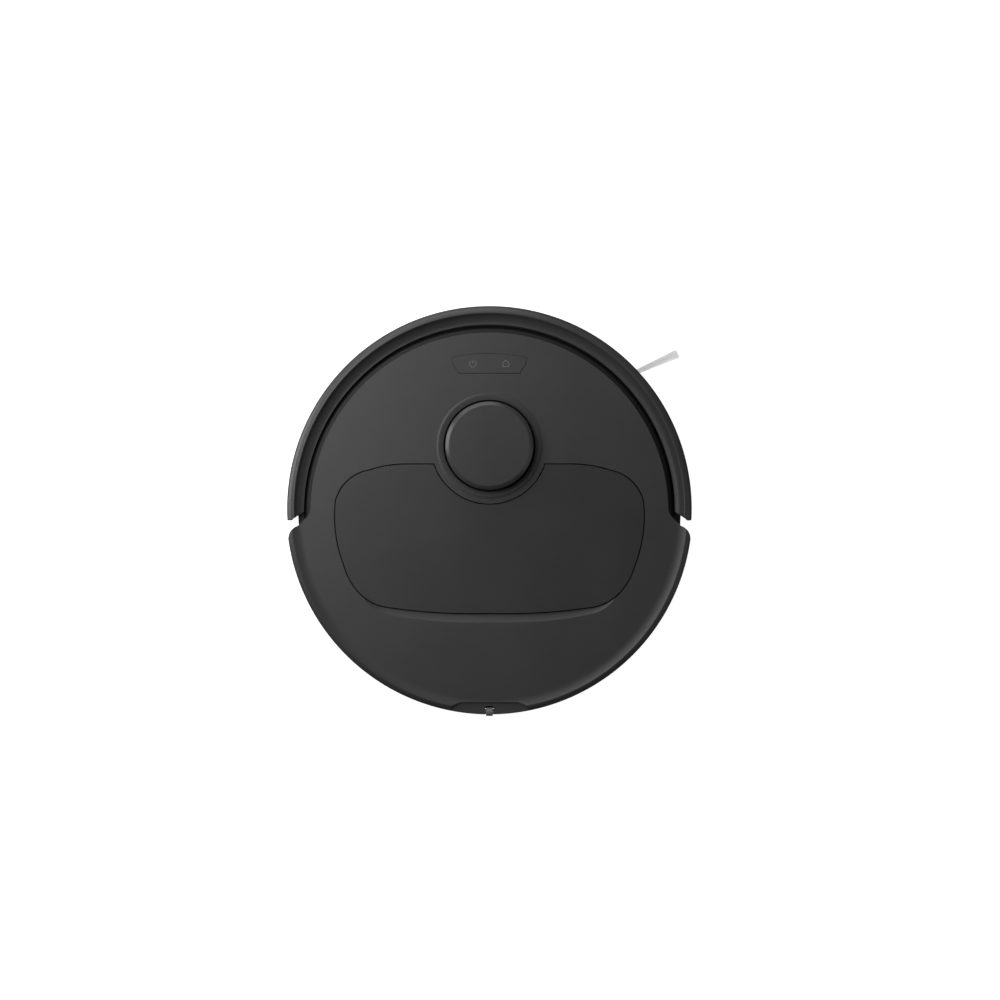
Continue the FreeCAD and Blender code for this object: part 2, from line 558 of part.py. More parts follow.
def make_rotor():
    """Drum with a flat face and two lens eyes, on a hub that the belt turns."""
    centre = ("0", "turret_y")
    drum = rod("Rotor_drum", "z", centre, ("rotor_bottom", "rotor_top"), "rotor_radius")
    hub = rod("Rotor_hub", "z", centre, ("deck_high + 1", "rotor_bottom + 1"), "hub_radius")
    bore = rod("Rotor_bore", "z", centre, ("deck_high", "rotor_bottom"), "spigot + running_gap")
    face = box("Rotor_face", ("-40", "40"), ("turret_y + 24", "turret_y + 40"),
               ("rotor_bottom + 3", "rotor_top + 1"))
    eyes = [rod("Eye", "y", (x, "rotor_bottom + 8"), ("turret_y + 20", "turret_y + 30"), "4")
            for x in ("-12", "12")]
    keep(less("Rotor", joined("Rotor_head", [drum, hub]), [bore, face] + eyes), "lidar_rotor")


def make_lidar_base():
    """Deck with the spigot the rotor turns on and a wall open on the motor's side."""
    centre, motor = ("0", "turret_y"), ("motor_x", "motor_y")
    deck = [rod("Deck_disc", "z", centre, ("deck_low", "deck_high"), "42"),
            rod("Deck_lobe", "z", motor, ("deck_low", "deck_high"), "15"),
            rod("Spigot", "z", centre, ("deck_high - 1", "rotor_bottom - 1"), "spigot")]
    wall = tube("Lidar_wall", "z", centre, ("deck_high - 1", "cover_top - cover_skin - 0.2"), "42", "40")
    gate = box("Belt_gate", ("-60", "-20"), ("turret_y - 26", "turret_y + 34"),
               ("deck_high", "belt_high + 2"))
    body = joined("Lidar_base_body", deck + [less("Lidar_wall_cut", wall, [gate])])
    shaft_hole = rod("Shaft_hole", "z", motor, ("deck_low - 1", "deck_high + 1"), "1.6")
    keep(less("Lidar_base", body, [shaft_hole]), "lidar_base")


def make_lidar_drive():
    motor = ("motor_x", "motor_y")
    keep(rod("Motor", "z", motor, ("deck_low - 18", "deck_low"), "11"), "lidar_motor")
    pulley = [rod("Pulley", "z", motor, ("deck_high + 1.5", "belt_high + 0.8"), "pulley_radius"),
              rod("Motor_shaft", "z", motor, ("deck_low + 0.2", "deck_high + 2"), "1")]
    keep(joined("Pulley_body", pulley), "lidar_pulley")
    inner = ("pulley_radius + belt_gap", "hub_radius + belt_gap")
    outer = ("pulley_radius + belt_gap + belt_skin", "hub_radius + belt_gap + belt_skin")
    belt = less("Belt", belt_loop("Belt_outside", *outer, "belt_low", "belt_high"),
                [belt_loop("Belt_inside", *inner, "belt_low - 1", "belt_high + 1")])
    keep(belt, "lidar_belt")


def belt_loop(name, small, large, low, high):
    """Solid inside a belt that runs round the pulley and the rotor's hub."""
    centre = V(value("0"), value("turret_y"), value(low))
    far = V(value("motor_x"), value("motor_y"), value(low))
    along = far - centre
    spread = math.acos((value(large) - value(small)) / along.Length)
    heading = math.atan2(along.y, along.x)
    corners = []
    for sign in (1, -1):
        direction = V(math.cos(heading + sign * spread), math.sin(heading + sign * spread), 0)
        corners.append((centre + direction * value(large), far + direction * value(small)))
    back = centre - along.normalize() * value(large)
    tip = far + along * value(small)
    edges = [Part.Arc(corners[0][0], back, corners[1][0]).toShape(),
             Part.makeLine(corners[1][0], corners[1][1]),
             Part.Arc(corners[1][1], tip, corners[0][1]).toShape(),
             Part.makeLine(corners[0][1], corners[0][0])]
    item = doc.addObject("Part::Feature", name)
    item.Shape = Part.Face(Part.Wire(edges)).extrude(V(0, 0, value(high) - value(low)))
    return item


# ---- wheels and their suspension

def make_wheel(side):
    axle = ("wheel_y", "wheel_radius")
    tyre = tube(mirrored_name("Tyre", side), "x", axle, across(side, "wheel_in", "wheel_out"),
                "wheel_radius", "rim_radius")
    keep(tyre, mirrored_name("wheel_tyre", side))
    hub = rod("Hub", "x", axle, across(side, "wheel_in + 0.5", "wheel_out - 0.5"), "rim_radius")
    dish = tube("Dish", "x", axle, across(side, "wheel_out - 6", "wheel_out + 1"), "rim_radius - 3", "8")
    bore = rod("Hub_bore", "x", axle, across(side, "wheel_in - 1", "wheel_out - 3"),
               "stub_radius + running_gap")
    keep(less(mirrored_name("Hub_cut", side), hub, [dish, bore]), mirrored_name("wheel_hub", side))


def make_suspension(side):
    """Arm with its axle stub, wheel motor, pivot pin and the spring on the pin."""
    axle, pivot = ("wheel_y", "wheel_radius"), ("pivot_y", "pivot_height")
    outline = [("pivot_y", "pivot_height - pivot_lobe", "pivot_lobe"),
               ("pivot_y + pivot_lobe", "pivot_height", "pivot_lobe"),
               ("pivot_y", "pivot_height + pivot_lobe"), ("wheel_y", "wheel_radius + axle_lobe", "axle_lobe"),
               ("wheel_y - axle_lobe", "wheel_radius", "axle_lobe"), ("wheel_y", "wheel_radius - axle_lobe")]
    arm = padded(mirrored_name("Arm", side), outline, *across(side, "arm_in", "arm_out"), "YZ_Plane")
    stub = rod("Stub", "x", axle, across(side, "arm_out - 2", "wheel_out - 3.5"), "stub_radius")
    bore = rod("Arm_bore", "x", pivot, across(side, "arm_in - 1", "arm_out + 1"), "pivot_pin + running_gap")
    keep(less("Arm_body", joined("Arm_solid", [arm, stub]), [bore]), mirrored_name("wheel_arm", side))
    motor = rod("Wheel_motor", "x", ("10", "44"), across(side, "85", "arm_in"), "11")
    keep(motor, mirrored_name("wheel_motor", side))
    pin_ends = across(side, PIVOT_LUGS[0][0], PIVOT_LUGS[-1][1])
    keep(rod("Pin", "x", pivot, pin_ends, "pivot_pin"), mirrored_name("suspension_pin", side))
    spring = tube("Spring", "x", pivot, across(side, "87", "arm_in - 0.6"), "pivot_pin + 3",
                  "pivot_pin + 0.8")
    keep(spring, mirrored_name("suspension_spring", side))


# ---- main brush

def make_chamber():
    """Half-round brush chamber with the duct to the dust bin, its cover and the brush motor."""
    axis = ("brush_y", "brush_height")
    outer = rod("Chamber_outer", "x", axis, ("-chamber_half - chamber_wall", "chamber_half + chamber_wall"),
                "chamber_radius + chamber_wall")
    inner = rod("Chamber_inner", "x", axis, ("-chamber_half", "chamber_half"), "chamber_radius")
    below = box("Below_base", ("-100", "100"), ("-60", "60"), ("-20", "base_bottom + base_skin"))
    duct = box("Chamber_duct", ("-duct_x", "duct_x"), ("-40", "-15"), ("duct_low", "duct_high"))
    bores = rod("Journal_bore", "x", axis, ("-90", "90"), "journal + running_gap")
    keep(less("Chamber", outer, [inner, below, duct, bores]), "brush_chamber")
    frame = box("Cover_frame", ("-86", "86"), ("brush_y - 31", "brush_y + 31"),
                ("base_bottom - 1.5", "base_bottom + 0.6"))
    window = box("Cover_window", ("-76", "76"), ("brush_y - 23", "brush_y + 23"), ("0", "20"))
    keep(less("Brush_cover", frame, [window]), "brush_cover")
    tabs = [box("Latch", (f"{x} - 9", f"{x} + 9"), ("brush_y + 31.4", "brush_y + 37"),
                ("base_bottom - 1.4", "base_bottom")) for x in (-60, 60)]
    keep(joined("Latches", tabs), "brush_cover_latches")
    keep(rod("Brush_motor", "x", ("-12", "61"), ("-60", "-10"), "9"), "brush_motor")


def fin_at(angle):
    """One rubber fin of the main brush, standing out of its sleeve at an angle about the axis."""
    foot = "(brush_core + 1.4)"
    fin = doc.addObject("Part::Box", "Fin")
    bind(fin, "Length", "2 * brush_half - 2")
    bind(fin, "Width", "2")
    bind(fin, "Height", "brush_reach - brush_core - 1.5")
    fin.Placement = FreeCAD.Placement(V(), FreeCAD.Rotation(V(1, 0, 0), angle))
    set_place(fin, ("-brush_half + 1", f"brush_y - cos({angle} deg) - {foot} * sin({angle} deg)",
                    f"brush_height - sin({angle} deg) + {foot} * cos({angle} deg)"))
    return fin


def make_brush():
    axis = ("brush_y", "brush_height")
    core = [rod("Core_drum", "x", axis, ("-brush_half", "brush_half"), "brush_core"),
            rod("Journals", "x", axis, ("-chamber_half - 2", "chamber_half + 2"), "journal")]
    keep(joined("Core", core), "main_brush_roller")
    sleeve = tube("Sleeve", "x", axis, ("-brush_half + 1", "brush_half - 1"), "brush_core + 2", "brush_core")
    fins = [fin_at(30 + 60 * number) for number in range(6)]
    keep(joined("Fins", [sleeve] + fins), "main_brush_fins")


# ---- side brush, caster

def make_side_brush():
    centre = ("side_x", "side_y")
    disc = rod("Side_hub_disc", "z", centre, ("5.2", "base_bottom - 0.4"), "side_hub")
    seat = rod("Side_screw_seat", "z", centre, ("0", "6.4"), "3.2")
    keep(less("Side_hub", disc, [seat]), "side_brush_hub")
    keep(rod("Side_screw", "z", centre, ("5.3", "6.4"), "3"), "side_brush_screw")
    gearbox = [rod("Gearbox_drum", "z", centre, ("base_bottom + base_skin", "36"), "17"),
               rod("Gearbox_nose", "z", centre, ("base_bottom + 0.2", "16"), "5.2")]
    keep(joined("Gearbox", gearbox), "side_brush_gearbox")
    make_bristles()


def bundle_section(half, low, high):
    """Upright rectangle across a bundle of bristles."""
    return [(f"-{half}", low), (half, low), (half, high), (f"-{half}", high)]


def make_bristles():
    """Three bundles that spread and droop from the hub to the floor."""
    bundle = doc.addObject("PartDesign::Body", "Bundles")
    loft = bundle.newObject("PartDesign::AdditiveLoft", "Bundle")
    loft.Profile = sketch_on(bundle, "YZ_Plane", bundle_section("1.2", "5.4", "7.6"), "side_hub")
    loft.Sections = [sketch_on(bundle, "YZ_Plane", bundle_section("3.7", "0.9", "2.2"), "side_reach")]
    loft.Ruled = True
    doc.recompute()
    pattern = bundle.newObject("PartDesign::PolarPattern", "Arms")
    pattern.Originals = [loft]
    pattern.Axis = ([f for f in bundle.Origin.OriginFeatures if f.Role == "Z_Axis"][0], [""])
    pattern.Angle = 360
    pattern.Occurrences = 3
    bundle.Tip = pattern
    bundle.Placement = FreeCAD.Placement(V(), FreeCAD.Rotation(V(0, 0, 1), 24))
    set_place(bundle, ("side_x", "side_y", "0"))
    keep(bundle, "side_brush_bristles")


def make_caster():
    centre = ("0", "caster_y")
    floor = "base_bottom + base_skin"
    socket = [tube("Cup_wall", "z", centre, ("base_bottom + 0.2", "34"), "fork_radius + 3.8",
                   "fork_radius + 1.8"),
              tube("Cup_roof", "z", centre, ("30", "34"), "fork_radius + 3", "4 + running_gap"),
              tube("Cup_flange", "z", centre, (floor, f"{floor} + 2"), "fork_radius + 8", "fork_radius + 3")]
    trim = rod("Socket_trim", "z", centre, ("0", floor), "fork_radius + 10")
    keep(less("Socket", joined("Socket_body", socket), [trim]), "caster_socket")
    axle = ("caster_y - caster_trail", "caster_radius")
    fork = [box("Cheek", ends, ("caster_y - 9", "caster_y + 6"), ("8", "28"))
            for ends in (("-9", "-6.6"), ("6.6", "9"))]
    fork += [rod("Fork_disc", "z", centre, ("26.8", "29.4"), "fork_radius"),
             rod("Fork_stem", "z", centre, ("29", "33.5"), "4")]
    bore = rod("Fork_bore", "x", axle, ("-10", "10"), "1.5")
    keep(less("Fork", joined("Fork_body", fork), [bore]), "caster_fork")
    keep(tube("Caster", "x", axle, ("-caster_half", "caster_half"), "caster_radius", "1.5 + running_gap"),
         "caster_wheel")
    keep(rod("Caster_axle", "x", axle, ("-9", "9"), "1.5"), "caster_axle")


# ---- machinery inside the body

def make_board():
    floor = "base_bottom + base_skin"
    board = [box("Circuit_board", ("-90", "20"), ("-140", "-96"), ("board_height", "board_height + 1.6"))]
    board += [box("Component", (x, f"{x} + 14"), ("-128", "-112"), ("board_height + 1", "board_height + 8"))
              for x in ("-80", "-54", "-28")]
    board += [rod("Standoff", "z", (x, y), (floor, "board_height + 0.5"), "3")
              for x in ("-85", "15") for y in ("-135", "-101")]
    keep(joined("Board", board), "main_board")
    keep(box("Battery", ("-74", "74"), ("54", "96"), (floor, "40")), "battery_pack")


def make_fan():
    """Suction fan: open cup with an outlet, motor in its floor and a vaned impeller."""
    floor = "base_bottom + base_skin"
    centre = ("fan_x", "fan_y")
    tools = [rod("Fan_inner", "z", centre, ("40", "61"), "fan_radius - 2"),
             rod("Fan_seat", "z", centre, (f"{floor} + 2", "41"), "14"),
             box("Fan_outlet", ("fan_x", "fan_x + 40"), ("fan_y - 20", "fan_y - 4"), ("42", "56"))]
    outer = rod("Fan_outer", "z", centre, (floor, "60"), "fan_radius")
    keep(less("Fan_housing", outer, tools), "fan_housing")
    motor = rod("Fan_motor", "z", centre, (f"{floor} + 2", "38.6"), "14")
    shaft_bore = rod("Fan_shaft_bore", "z", centre, ("20", "42"), "1.5 + running_gap")
    keep(less("Fan_motor_body", motor, [shaft_bore]), "fan_motor")
    impeller = [rod("Impeller_plate", "z", centre, ("42", "44"), "fan_radius - 4"),
                rod("Impeller_hub", "z", centre, ("43", "54"), "6"),
                rod("Impeller_shaft", "z", centre, ("24", "43"), "1.5")]
    impeller += [spoke("Vane", 36 * number, "5", "fan_radius - 4", "1.4", ("43.5", "54"), centre)
                 for number in range(10)]
    keep(joined("Impeller", impeller), "fan_impeller")


make_base()
make_base_fittings()
make_housing()
make_shell()
make_cover()
make_lid()
make_bay()
make_bin()
make_buttons()
make_roller()
make_bumper()
make_cap()
make_rotor()
make_lidar_base()
make_lidar_drive()
for wheel_side in (-1, 1):
    make_wheel(wheel_side)
    make_suspension(wheel_side)
make_chamber()
make_brush()
make_side_brush()
make_caster()
make_board()
make_fan()
doc.recompute()

faults = [item.Name for item in doc.Objects if "Invalid" in item.State or "Error" in item.State]
faults += [node.Label for node in NODES if node.Shape.isNull() or not node.Shape.isValid()]
if faults:
    raise RuntimeError("failed objects: " + ", ".join(faults))
os.makedirs("parts", exist_ok=True)
for node in NODES:
    node.Shape.exportStep(f"parts/{node.Label}.step")
    reach = node.Shape.BoundBox
    sides = (reach.XMin, reach.XMax, reach.YMin, reach.YMax, reach.ZMin, reach.ZMax)
    print(f"{node.Label:24s} {len(node.Shape.Solids)} solid(s) {node.Shape.Volume / 1000:8.1f} cm3", end="  ")
    print([round(side, 1) for side in sides])
print(len(NODES), "sub-parts")
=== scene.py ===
import json
import math
import random

import bmesh
import bpy
from mathutils import Matrix, Vector


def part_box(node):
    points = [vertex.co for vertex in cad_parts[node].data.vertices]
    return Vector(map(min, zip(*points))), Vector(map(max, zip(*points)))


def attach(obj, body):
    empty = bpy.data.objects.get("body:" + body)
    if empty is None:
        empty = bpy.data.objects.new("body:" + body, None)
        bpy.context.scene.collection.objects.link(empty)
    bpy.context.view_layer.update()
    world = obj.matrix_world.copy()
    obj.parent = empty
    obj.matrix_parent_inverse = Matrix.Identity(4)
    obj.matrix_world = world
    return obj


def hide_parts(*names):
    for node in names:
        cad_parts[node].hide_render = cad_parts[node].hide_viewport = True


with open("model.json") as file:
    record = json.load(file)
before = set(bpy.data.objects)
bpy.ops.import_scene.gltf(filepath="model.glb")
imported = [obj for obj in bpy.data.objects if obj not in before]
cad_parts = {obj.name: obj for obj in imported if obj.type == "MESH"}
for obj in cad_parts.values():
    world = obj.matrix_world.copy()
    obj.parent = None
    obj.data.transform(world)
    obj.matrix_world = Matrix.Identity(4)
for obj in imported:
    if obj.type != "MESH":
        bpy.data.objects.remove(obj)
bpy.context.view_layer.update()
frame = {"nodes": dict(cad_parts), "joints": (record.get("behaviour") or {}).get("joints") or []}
random.seed(11)
MM = 0.001


# ---- places read from the frame, in millimetres

def node_box(node):
    low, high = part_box(node)
    return [number / MM for number in low], [number / MM for number in high]


def joint_place(name):
    place = next(joint["pos_m"] for joint in frame["joints"] if joint["name"] == name)
    return [number / MM for number in place]


LID_LOW, LID_HIGH = node_box("bin_lid")
COVER_LOW, COVER_HIGH = node_box("top_cover")
BUMPER_LOW, BUMPER_HIGH = node_box("bumper_shell")
CAP_LOW, CAP_HIGH = node_box("lidar_cap")
SHELL_LOW, SHELL_HIGH = node_box("rear_shell")

# heights
TOP = LID_HIGH[2]               # flat top of cover, lid and buttons
CREST = COVER_HIGH[2]           # top of the bumper
RIM_CREST = CREST + 0.9         # top of the cover's raised rear rim
RIM_EDGE = CREST - 4.9          # where the rim has fallen to the side wall
SKIN = 2.5                      # wall of cover, bumper and shell

# cover
BODY_RADIUS = -COVER_LOW[1]
FRONT_RADIUS = COVER_HIGH[1]
CREST_RADIUS = BODY_RADIUS - 4.6
RIM_START = BODY_RADIUS - 13.4
NOTCH = (165.0, -12.5)          # inner corner between cover and bumper end
SHOULDER = (173.07, -25.2)      # where the side wall leaves the round
BEND_Y = 3.1                    # cover's front edge bends inwards here
BEND_FOOT = (157.7, -5.5)
LID_GAP = 0.8                   # from the lid's nominal outline to the cover
LID_TRIM = 0.1                  # from the lid's nominal outline in to its own edge
PANEL_GAP = 0.3

# bumper
BUMPER_RADIUS = BUMPER_HIGH[0] - 0.05
BUMPER_Y = BUMPER_HIGH[1] - BUMPER_HIGH[0]
BUMPER_CREST = BUMPER_RADIUS - 6.6
BUMPER_INNER = BUMPER_RADIUS - 15.8
BUMPER_END_Y = -4.3
BUMPER_HEEL = (170.7, -7.7)     # where the end's rounding meets its slanted inner side
WINDOW_DEPTH = 1.2

# turret
TURRET_Y = joint_place("scanner_spin")[1]
CAP_RADIUS = CAP_HIGH[0]
OPENING_RADIUS = CAP_RADIUS + 1.7

# side brush
BUNDLE_ANGLES = (24, 144, 264)
HAIRS_PER_BUNDLE = 110
HAIR_REACH = 79.5
HAIR_ROOT = 9.5
HAIR_RADIUS = 0.15

LUGS = 30                       # of each half of a tyre's tread


# ---- mesh helpers; every helper takes millimetres

def arc(start, end, radius, step=1.0):
    """Points from start to just before end on an arc; a positive radius turns anticlockwise."""
    start, end = Vector(start), Vector(end)
    chord = end - start
    half = chord.length / 2
    rise = math.sqrt(max(radius * radius - half * half, 0.0)) * math.copysign(1, radius)
    centre = (start + end) / 2 + Vector((-chord.y, chord.x)) / chord.length * rise
    first = math.atan2(start.y - centre.y, start.x - centre.x)
    turn = 2 * math.asin(min(1.0, half / abs(radius))) * math.copysign(1, radius)
    count = max(2, int(abs(turn) * abs(radius) / step), int(abs(math.degrees(turn)) / 4))
    return [(centre.x + abs(radius) * math.cos(first + turn * k / count),
             centre.y + abs(radius) * math.sin(first + turn * k / count)) for k in range(count)]


def path(points, step=1.0):
    """Closed outline: (x, y) starts a straight run to the next point and (x, y, radius) an arc."""
    dense = []
    for number, point in enumerate(points):
        after = points[(number + 1) % len(points)]
        if len(point) == 3:
            dense += arc(point[:2], after[:2], point[2], step)
        else:
            dense.append(point)
    return dense


def from_bmesh(name, mesh):
    bmesh.ops.recalc_face_normals(mesh, faces=mesh.faces)
    data = bpy.data.meshes.new(name)
    mesh.to_mesh(data)
    mesh.free()
    item = bpy.data.objects.new(name, data)
    bpy.context.scene.collection.objects.link(item)
    return item


def prism(name, outline, low, high):
    mesh = bmesh.new()
    rings = [[mesh.verts.new((x * MM, y * MM, z * MM)) for x, y in outline] for z in (low, high)]
    mesh.faces.new(rings[0])
    mesh.faces.new(rings[1])
    count = len(outline)
    for k in range(count):
        after = (k + 1) % count
        mesh.faces.new((rings[0][k], rings[0][after], rings[1][after], rings[1][k]))
    return from_bmesh(name, mesh)


def lathe(name, profile, segments=180, centre=(0, 0, 0), axis="z"):
    """Closed profile of (radius, height) turned about an axis through the centre."""
    mesh = bmesh.new()
    rings = []
    for radius, height in profile:
        if radius < 1e-6:
            rings.append([mesh.verts.new((0, 0, height * MM))])
            continue
        turns = [2 * math.pi * k / segments for k in range(segments)]
        rings.append([mesh.verts.new(Vector((radius * math.cos(turn), radius * math.sin(turn), height)) * MM)
                      for turn in turns])
    for ring, other in zip(rings, rings[1:] + rings[:1]):
        if len(ring) == 1 and len(other) == 1:
            continue
        for k in range(segments):
            after = (k + 1) % segments
            if len(ring) == 1:
                mesh.faces.new((ring[0], other[k], other[after]))
            elif len(other) == 1:
                mesh.faces.new((ring[k], ring[after], other[0]))
            else:
                mesh.faces.new((ring[k], ring[after], other[after], other[k]))
    turn = {"z": Matrix.Identity(4), "x": Matrix.Rotation(math.pi / 2, 4, "Y")}[axis]
    bmesh.ops.transform(mesh, matrix=Matrix.Translation(Vector(centre) * MM) @ turn, verts=mesh.verts)
    return from_bmesh(name, mesh)


def block(name, xs, ys, zs, angle=0.0, pivot=(0, 0)):
    """Box between its limits, turned by an angle in degrees about a vertical line through the pivot."""
    mesh = bmesh.new()
    bmesh.ops.create_cube(mesh, size=1.0)
    centre = Vector([(low + high) / 2 for low, high in (xs, ys, zs)]) * MM
    sides = [(high - low) * MM for low, high in (xs, ys, zs)]
    spread = Matrix.Translation(centre) @ Matrix.Diagonal((*sides, 1))
    bmesh.ops.transform(mesh, matrix=spread, verts=mesh.verts)
    around = Vector((pivot[0], pivot[1], 0)) * MM
    turn = Matrix.Rotation(math.radians(angle), 4, "Z")
    turn = Matrix.Translation(around) @ turn @ Matrix.Translation(-around)
    bmesh.ops.transform(mesh, matrix=turn, verts=mesh.verts)
    return from_bmesh(name, mesh)


def bake_modifiers(item):
    """Replace an object's mesh with what its modifiers make of it."""
    graph = bpy.context.evaluated_depsgraph_get()
    data = bpy.data.meshes.new_from_object(item.evaluated_get(graph))
    old = item.data
    item.modifiers.clear()
    item.data = data
    bpy.data.meshes.remove(old)


def combine(item, tools, operation="DIFFERENCE"):
    """Cut, join or intersect an object with others, which are used up."""
    for tool in tools:
        modifier = item.modifiers.new("combine", "BOOLEAN")
        modifier.operation = operation
        modifier.solver = "EXACT"
        modifier.object = tool
    bpy.context.view_layer.update()
    bake_modifiers(item)
    for tool in tools:
        bpy.data.objects.remove(tool, do_unlink=True)
    return item


def joined(name, items):
    """One object out of several, without fusing their solids."""
    mesh = bmesh.new()
    for item in items:
        mesh.from_mesh(item.data)
        bpy.data.objects.remove(item, do_unlink=True)
    return from_bmesh(name, mesh)


def soften(item, width, sharp=32):
    """Tidy flat faces, round the sharp edges by a width and shade the rest smooth."""
    mesh = bmesh.new()
    mesh.from_mesh(item.data)
    bmesh.ops.remove_doubles(mesh, verts=mesh.verts, dist=2e-6)
    bmesh.ops.dissolve_limit(mesh, angle_limit=math.radians(0.3), verts=mesh.verts, edges=mesh.edges)
    mesh.to_mesh(item.data)
    mesh.free()
    bevel = item.modifiers.new("bevel", "BEVEL")
    bevel.width = width * MM
    bevel.segments = 2
    bevel.limit_method = "ANGLE"
    bevel.angle_limit = math.radians(sharp)
    bevel.use_clamp_overlap = True
    bpy.context.view_layer.update()
    bake_modifiers(item)
    shade(item, sharp)


def shade(item, sharp=32):
    """Smooth shading, with creases at edges sharper than an angle in degrees."""
    mesh = bmesh.new()
    mesh.from_mesh(item.data)
    for face in mesh.faces:
        face.smooth = True
    for edge in mesh.edges:
        edge.smooth = len(edge.link_faces) == 2 and edge.calc_face_angle(0) < math.radians(sharp)
    mesh.to_mesh(item.data)
    mesh.free()
    weighted = item.modifiers.new("normals", "WEIGHTED_NORMAL")
    weighted.keep_sharp = True


def finish_piece(item, name, body, material, nodes=()):
    """Name a piece and give it its material, its body and the CAD nodes it stands for."""
    item.name = name
    item.data.materials.clear()
    item.data.materials.append(material)
    for node in nodes:
        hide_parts(node)
    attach(item, body)


# ---- materials

def add_node(tree, kind, **settings):
    node = tree.nodes.new(kind)
    for name, setting in settings.items():
        setattr(node, name, setting)
    return node


def surface(name, colour, rough, spread=0.06, grain_height=0.00003, patch=18.0, metal=0.0,
            rough_spread=0.06):
    """Moulded or metal surface: slow patches of colour and gloss, and a fine grain in relief."""
    material = bpy.data.materials.new(name)
    material.use_nodes = True
    tree = material.node_tree
    shader = tree.nodes["Principled BSDF"]
    place = add_node(tree, "ShaderNodeTexCoord")
    slow = add_node(tree, "ShaderNodeTexNoise")
    slow.inputs["Scale"].default_value = patch
    slow.inputs["Detail"].default_value = 4.0
    fine = add_node(tree, "ShaderNodeTexNoise")
    fine.inputs["Scale"].default_value = 1400.0
    fine.inputs["Detail"].default_value = 2.0
    for noise in (slow, fine):
        tree.links.new(place.outputs["Object"], noise.inputs["Vector"])
    ramp = add_node(tree, "ShaderNodeValToRGB")
    ramp.color_ramp.elements[0].position = 0.3
    ramp.color_ramp.elements[1].position = 0.7
    ramp.color_ramp.elements[0].color = (*[channel * (1 - spread) for channel in colour], 1)
    ramp.color_ramp.elements[1].color = (*[channel * (1 + spread) for channel in colour], 1)
    tree.links.new(slow.outputs["Fac"], ramp.inputs["Fac"])
    speck = add_node(tree, "ShaderNodeMixRGB", blend_type="MULTIPLY")
    speck.inputs["Fac"].default_value = 0.25
    tree.links.new(ramp.outputs["Color"], speck.inputs["Color1"])
    tree.links.new(fine.outputs["Fac"], speck.inputs["Color2"])
    tree.links.new(speck.outputs["Color"], shader.inputs["Base Color"])
    gloss = add_node(tree, "ShaderNodeMapRange")
    gloss.inputs["To Min"].default_value = rough - rough_spread
    gloss.inputs["To Max"].default_value = rough + rough_spread
    tree.links.new(slow.outputs["Fac"], gloss.inputs["Value"])
    tree.links.new(gloss.outputs["Result"], shader.inputs["Roughness"])
    relief = add_node(tree, "ShaderNodeBump")
    relief.inputs["Distance"].default_value = grain_height
    relief.inputs["Strength"].default_value = 0.6
    tree.links.new(fine.outputs["Fac"], relief.inputs["Height"])
    tree.links.new(relief.outputs["Normal"], shader.inputs["Normal"])
    shader.inputs["Metallic"].default_value = metal
    return material


def glow(material, strength):
    """Let a surface give off white light of its own."""
    shader = material.node_tree.nodes["Principled BSDF"]
    shader.inputs["Emission Color"].default_value = (1, 1, 1, 1)
    shader.inputs["Emission Strength"].default_value = strength


COVER_GREY = surface("Cover grey", (0.063, 0.063, 0.0636), 0.42, rough_spread=0.04)
LID_GREY = surface("Lid grey", (0.048, 0.048, 0.0485), 0.42, rough_spread=0.04)
BUMPER_GREY = surface("Bumper grey", (0.068, 0.068, 0.0686), 0.40, rough_spread=0.04)
INNER_BLACK = surface("Inner black", (0.016, 0.016, 0.017), 0.62)
# painted shade: the bay under the lid is made near black, darker than its plastic, so the lid's seam reads
# as a dark shadow line
BAY_PAINTED_SHADE = surface("Bay painted shade", (0.006, 0.006, 0.006), 0.8)
GROOVE_BLACK = surface("Groove black", (0.017, 0.017, 0.018), 0.58)
BASE_BLACK = surface("Base black", (0.028, 0.028, 0.030), 0.55, patch=10)
CAP_GREY = surface("Turret grey", (0.068, 0.068, 0.0686), 0.30, rough_spread=0.04)
WINDOW = surface("Infrared window", (0.010, 0.007, 0.010), 0.12, grain_height=0.0, rough_spread=0.02)
BIN_CLEAR = surface("Smoked bin", (0.09, 0.095, 0.105), 0.25)
FILTER = surface("Filter paper", (0.72, 0.71, 0.67), 0.9, grain_height=0.0001)
BOARD = surface("Circuit board", (0.02, 0.11, 0.05), 0.4)
NYLON = surface("Grey nylon", (0.26, 0.265, 0.275), 0.45)
STEEL = surface("Steel", (0.55, 0.55, 0.57), 0.32, metal=1.0)
BLACK_STEEL = surface("Blackened steel", (0.02, 0.02, 0.021), 0.4, metal=1.0)
CONTACT = surface("Contact plating", (0.78, 0.70, 0.50), 0.25, metal=1.0)
TREAD = surface("Tread rubber", (0.020, 0.020, 0.021), 0.75, grain_height=0.00008)
RUBBER = surface("Brush rubber", (0.045, 0.045, 0.048), 0.6)
BRISTLE = surface("Bristle", (0.97, 0.97, 0.98), 0.4, spread=0.02)
ORANGE = surface("Orange plastic", (0.60, 0.17, 0.02), 0.45)
WRAP = surface("Battery wrap", (0.03, 0.08, 0.22), 0.35)
MARK = surface("Pale print", (0.26, 0.26, 0.27), 0.5)
glow(BRISTLE, 0.22)  # stands for light that passes through the hairs from a pale floor


# ---- outlines shared by several pieces

SHOULDER_RIGHT = [NOTCH, (NOTCH[0] + 2, NOTCH[1] - 0.8, -12), (*SHOULDER, -BODY_RADIUS),
                  (0, -BODY_RADIUS, -BODY_RADIUS)]
SHOULDER_LEFT = [(-SHOULDER[0], SHOULDER[1], -12), (-NOTCH[0] - 2, NOTCH[1] - 0.8), (-NOTCH[0], NOTCH[1])]


LID_FRONT_Y = 40.5
LID_BITE = 50.6                 # radius of the lid's cut-out round the turret


